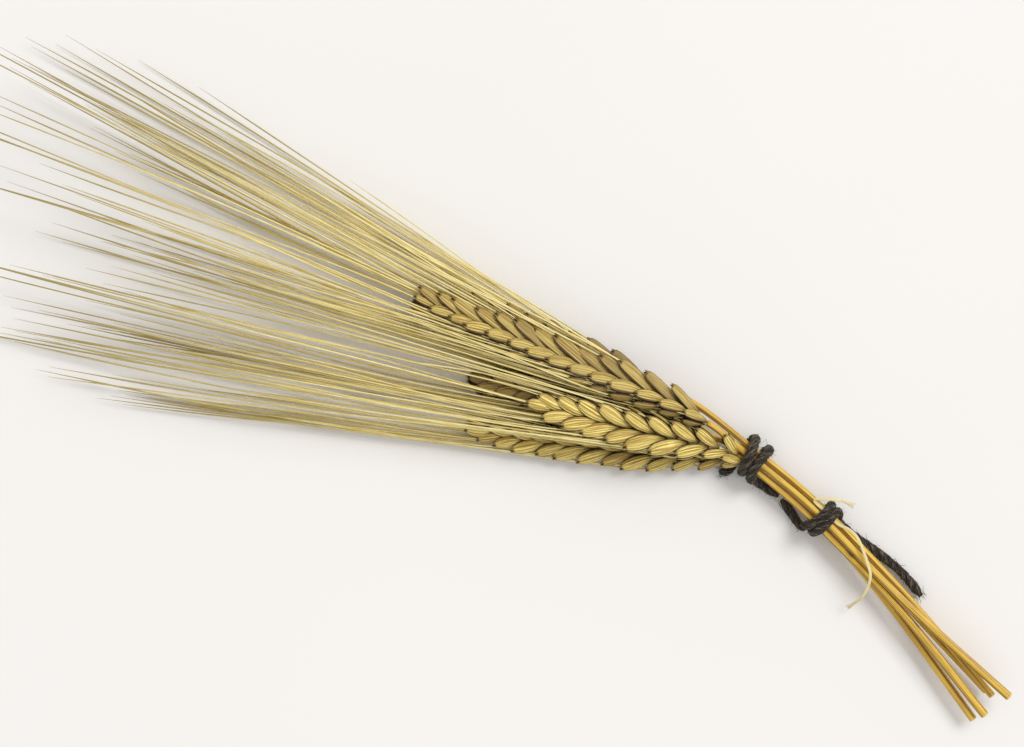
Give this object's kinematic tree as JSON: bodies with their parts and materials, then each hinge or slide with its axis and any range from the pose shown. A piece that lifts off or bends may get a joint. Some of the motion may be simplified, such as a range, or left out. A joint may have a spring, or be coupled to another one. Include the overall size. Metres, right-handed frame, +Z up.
{
  "type": "bundle of dried wheat",
  "caption": "Small flat bundle of dried bearded wheat ears on short hollow straws, tied round with dark twine.",
  "frame": {"origin": "on the surface that the bundle lies on, under the middle of its outline", "axes": "+X along the bundle towards the cut ends of the straws, -X towards the tips of the awns, +Z up from the surface that it lies on"},
  "size_m": [0.3099, 0.0826, 0.0191],
  "materials": {
    "straw": "satin, golden, hollow when cut",
    "chaff": "dry, ribbed, straw coloured",
    "twine": "rough, dark brown, twisted",
    "fibre": "pale, thin, frayed"
  },
  "bodies": {
    "root": {"straw_a": "straw", "straw_b": "straw", "straw_c": "straw", "straw_d": "straw", "straw_e": "straw", "ear_a": "chaff", "ear_b": "chaff", "ear_c": "chaff", "ear_d": "chaff", "ear_e": "chaff", "tie_upper": "twine", "tie_lower": "twine", "fibre_strand": "fibre"}
  },
  "joints": []
}
